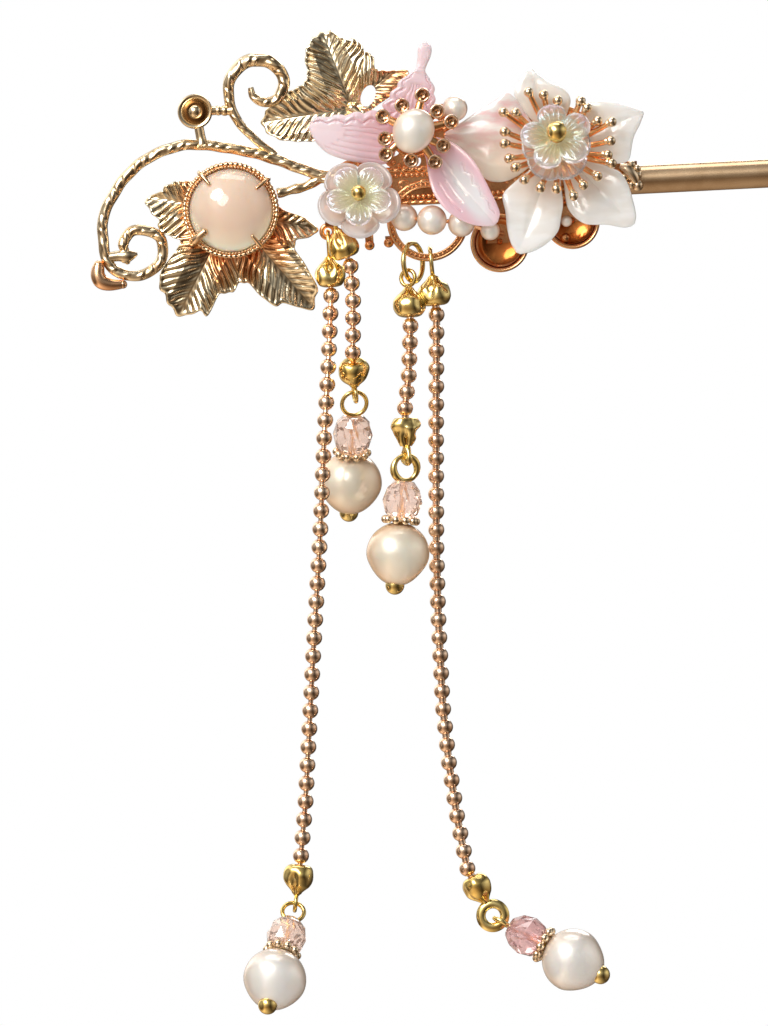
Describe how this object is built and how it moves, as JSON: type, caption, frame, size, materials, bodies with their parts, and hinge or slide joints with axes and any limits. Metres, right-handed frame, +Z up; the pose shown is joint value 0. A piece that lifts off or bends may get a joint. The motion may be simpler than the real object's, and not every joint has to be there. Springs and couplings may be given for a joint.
{
  "type": "buyao hairpin",
  "caption": "Buyao hairpin: a round gold stick with a cast scroll, ribbed leaves, moonstone, butterfly, shell and glass flowers, and ball chains ending in pearl drops.",
  "frame": {"origin": "on the stick's axis, where the stick leaves the ornament and enters the hair", "axes": "+X runs along the stick to its free tip, +Z is up when the drops hang, -Y faces the viewer"},
  "size_m": [0.1621, 0.0211, 0.118],
  "materials": {
    "satin_gold": "satin brushed gold-coloured metal",
    "pale_gold": "polished pale gold-coloured cast metal",
    "rose_gold": "polished rose gold-coloured metal",
    "bright_gold": "bright yellow gold-coloured metal",
    "moonstone": "milky translucent pink cabochon",
    "wing_pink": "frosted pearly pink glass",
    "frosted_pink": "frosted pink glass",
    "crystal_green": "clear pale green glass with pink rims",
    "crystal_pink": "clear pale pink faceted glass",
    "pearl": "glossy warm white pearl coating",
    "shell": "polished white shell with a faint pink shine"
  },
  "bodies": {
    "root": {"stick": "satin_gold", "back_plate": "rose_gold", "scroll_frame": "pale_gold", "upper_leaf": "pale_gold", "lower_leaf": "pale_gold", "stone_setting": "pale_gold", "moonstone": "moonstone", "left_wing": "wing_pink", "top_wing": "wing_pink", "right_wing": "wing_pink", "rosette": "rose_gold", "rosette_pearl": "pearl", "left_crystal_flower": "crystal_green", "left_frosted_flower": "frosted_pink", "left_flower_pin": "bright_gold", "shell_petal_top": "shell", "shell_petal_right": "shell", "shell_petal_lower_right": "shell", "shell_petal_lower_left": "shell", "shell_petal_left": "shell", "stamen_cap": "rose_gold", "right_crystal_flower": "crystal_green", "right_frosted_flower": "frosted_pink", "right_flower_pin": "bright_gold", "string_pearls": "pearl", "string_wire": "rose_gold", "jump_ring": "bright_gold", "long_left_tip": "bright_gold", "long_left_chain": "rose_gold", "long_left_wire": "rose_gold", "long_left_end": "bright_gold", "long_left_pin": "bright_gold", "long_left_crystal": "crystal_pink", "long_left_spacer": "rose_gold", "long_left_pearl": "pearl", "short_left_tip": "bright_gold", "short_left_chain": "rose_gold", "short_left_wire": "rose_gold", "short_left_end": "bright_gold", "short_left_pin": "bright_gold", "short_left_crystal": "crystal_pink", "short_left_spacer": "rose_gold", "short_left_pearl": "pearl", "short_mid_tip": "bright_gold", "short_mid_chain": "rose_gold", "short_mid_wire": "rose_gold", "short_mid_end": "bright_gold", "short_mid_pin": "bright_gold", "short_mid_crystal": "crystal_pink", "short_mid_spacer": "rose_gold", "short_mid_pearl": "pearl", "long_right_tip": "bright_gold", "long_right_chain": "rose_gold", "long_right_wire": "rose_gold", "long_right_end": "bright_gold", "long_right_pin": "bright_gold", "long_right_crystal": "crystal_pink", "long_right_spacer": "rose_gold", "long_right_pearl": "pearl"}
  },
  "joints": []
}
